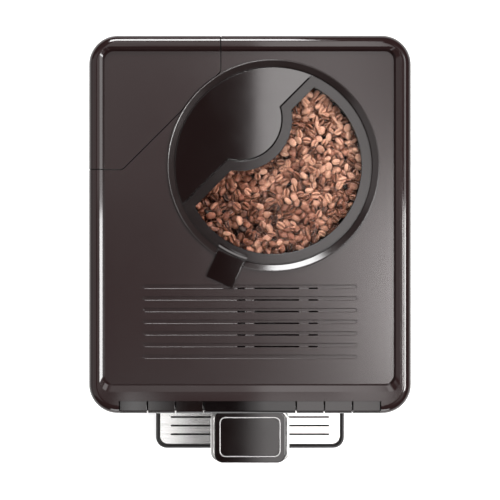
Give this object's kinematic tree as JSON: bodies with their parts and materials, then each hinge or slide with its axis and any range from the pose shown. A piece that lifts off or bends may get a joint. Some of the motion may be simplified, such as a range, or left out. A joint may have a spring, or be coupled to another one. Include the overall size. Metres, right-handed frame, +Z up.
{
  "type": "bean to cup coffee machine",
  "caption": "Countertop bean to cup coffee machine with a round bean hopper in its top, a lift-out water tank, a height adjustable spout over a drip tray, sloping keys and a side door.",
  "frame": {"origin": "centre of the box round the machine, on the counter under its feet", "axes": "+Z up, the spout and keys face -Y, +X is the machine's right side as seen from the front"},
  "size_m": [0.26, 0.376, 0.35],
  "materials": {
    "black_gloss_plastic": "high gloss black",
    "black_matt_plastic": "fine grained black",
    "silver_painted_plastic": "silver paint, satin",
    "brushed_steel": "brushed",
    "cast_aluminium": "as cast",
    "brass": "machined",
    "white_ceramic": "ground",
    "clear_plastic": "clear polished",
    "smoked_plastic": "smoked clear plastic",
    "display_glass": "black display glass",
    "black_rubber": "moulded",
    "white_silicone": "white silicone",
    "roasted_beans": "roasted coffee beans",
    "circuit_board": "circuit board",
    "grey_plastic": "moulded grey"
  },
  "bodies": {
    "machine": {"base_pan": "black_matt_plastic", "foot_front_left": "black_rubber", "foot_front_right": "black_rubber", "foot_rear_left": "black_rubber", "foot_rear_right": "black_rubber", "left_side_panel": "black_gloss_plastic", "right_side_panel": "black_gloss_plastic", "door_hinge_pin": "brushed_steel", "rear_cover": "black_matt_plastic", "power_board": "circuit_board", "mains_inlet": "black_matt_plastic", "top_cover": "black_gloss_plastic", "tank_partition": "grey_plastic", "tank_socket": "grey_plastic", "hopper_bezel": "silver_painted_plastic", "bean_hopper": "smoked_plastic", "coffee_beans": "roasted_beans", "front_fascia": "black_gloss_plastic", "display_window": "display_glass", "control_board": "circuit_board", "spout_rail": "black_matt_plastic", "mid_shelf": "grey_plastic", "grinder_motor": "brushed_steel", "grinder_housing": "cast_aluminium", "upper_burr": "white_ceramic", "grounds_chute": "grey_plastic", "brew_frame": "grey_plastic", "brew_chamber": "smoked_plastic", "lower_sieve": "brushed_steel", "brew_motor": "brushed_steel", "pump": "cast_aluminium", "thermoblock": "cast_aluminium", "suction_hose": "white_silicone", "pressure_hose": "white_silicone"},
    "service_door": {"service_door": "black_gloss_plastic"},
    "water_tank": {"water_tank": "smoked_plastic", "tank_hinge_pin": "brushed_steel", "tank_valve": "grey_plastic"},
    "tank_lid": {"tank_lid": "black_gloss_plastic"},
    "hopper_lid": {"hopper_lid": "black_gloss_plastic", "hopper_window": "clear_plastic"},
    "drip_tray": {"drip_tray": "black_gloss_plastic"},
    "drip_grid": {"drip_grid": "brushed_steel"},
    "grounds_bin": {"grounds_bin": "black_matt_plastic"},
    "spout": {"spout_carriage": "black_matt_plastic", "spout_housing": "silver_painted_plastic", "spout_cap": "black_gloss_plastic", "spout_nozzles": "brushed_steel"},
    "key_1": {"key_1": "black_gloss_plastic"},
    "key_2": {"key_2": "black_gloss_plastic"},
    "key_3": {"key_3": "black_gloss_plastic"},
    "key_4": {"key_4": "black_gloss_plastic"},
    "key_5": {"key_5": "black_gloss_plastic"},
    "key_6": {"key_6": "black_gloss_plastic"},
    "power_switch": {"power_switch": "black_gloss_plastic"},
    "grinder_rotor": {"lower_burr": "white_ceramic"},
    "spindle": {"brew_spindle": "brushed_steel", "spindle_gear": "grey_plastic"},
    "piston": {"upper_piston": "grey_plastic"},
    "pinion": {"motor_pinion": "brass"}
  },
  "joints": [
    {"name": "door_hinge", "type": "hinge", "parent": "machine", "child": "service_door", "pos_m": [0.127, 0.1265, 0.175], "axis": [0, 0, 1], "range_deg": [0, 95]},
    {"name": "tank_lift", "type": "slide", "parent": "machine", "child": "water_tank", "axis": [0, 0, 1], "range_m": [0, 0.3]},
    {"name": "tank_lid_hinge", "type": "hinge", "parent": "water_tank", "child": "tank_lid", "pos_m": [-0.075, 0.1855, 0.3227], "axis": [-1, 0, 0], "range_deg": [0, 90]},
    {"name": "hopper_lid_lift", "type": "slide", "parent": "machine", "child": "hopper_lid", "axis": [0, 0, 1], "range_m": [0, 0.05]},
    {"name": "tray_slide", "type": "slide", "parent": "machine", "child": "drip_tray", "axis": [0, -1, 0], "range_m": [0, 0.19]},
    {"name": "grid_lift", "type": "slide", "parent": "drip_tray", "child": "drip_grid", "axis": [0, 0, 1], "range_m": [0, 0.02]},
    {"name": "bin_slide", "type": "slide", "parent": "drip_tray", "child": "grounds_bin", "axis": [0, 1, 0], "range_m": [-0.15, 0]},
    {"name": "spout_slide", "type": "slide", "parent": "machine", "child": "spout", "axis": [0, 0, 1], "range_m": [-0.07, 0]},
    {"name": "key_1_travel", "type": "slide", "parent": "machine", "child": "key_1", "axis": [0, 0.8825, -0.4702], "range_m": [0, 0.0012], "stiffness_N_per_m": 400, "springref_m": -0.0005},
    {"name": "key_2_travel", "type": "slide", "parent": "machine", "child": "key_2", "axis": [0, 0.8825, -0.4702], "range_m": [0, 0.0012], "stiffness_N_per_m": 400, "springref_m": -0.0005},
    {"name": "key_3_travel", "type": "slide", "parent": "machine", "child": "key_3", "axis": [0, 0.8825, -0.4702], "range_m": [0, 0.0012], "stiffness_N_per_m": 400, "springref_m": -0.0005},
    {"name": "key_4_travel", "type": "slide", "parent": "machine", "child": "key_4", "axis": [0, 0.8825, -0.4702], "range_m": [0, 0.0012], "stiffness_N_per_m": 400, "springref_m": -0.0005},
    {"name": "key_5_travel", "type": "slide", "parent": "machine", "child": "key_5", "axis": [0, 0.8825, -0.4702], "range_m": [0, 0.0012], "stiffness_N_per_m": 400, "springref_m": -0.0005},
    {"name": "key_6_travel", "type": "slide", "parent": "machine", "child": "key_6", "axis": [0, 0.8825, -0.4702], "range_m": [0, 0.0012], "stiffness_N_per_m": 400, "springref_m": -0.0005},
    {"name": "switch_rocker", "type": "hinge", "parent": "machine", "child": "power_switch", "pos_m": [0.038, 0.1815, 0.048], "axis": [-1, 0, 0], "range_deg": [0, 14]},
    {"name": "grinder_spin", "type": "hinge", "parent": "machine", "child": "grinder_rotor", "pos_m": [0.032, 0.068, 0.2561], "axis": [0, 0, 1], "continuous": true},
    {"name": "spindle_spin", "type": "hinge", "parent": "machine", "child": "spindle", "pos_m": [0.075, 0.103, 0.1506], "axis": [0, 0, 1], "range_deg": [0, 360]},
    {"name": "piston_travel", "type": "slide", "parent": "machine", "child": "piston", "axis": [0, 0, -1], "range_m": [0, 0.03]},
    {"name": "pinion_spin", "type": "hinge", "parent": "machine", "child": "pinion", "pos_m": [0.0508, 0.103, 0.1506], "axis": [0, 0, 1], "range_deg": [-1080, 0]}
  ],
  "couplings": [
    {"joint": "piston_travel", "follows": "spindle_spin", "m_per_rad": 0.00477},
    {"joint": "pinion_spin", "follows": "spindle_spin", "ratio": -3}
  ]
}
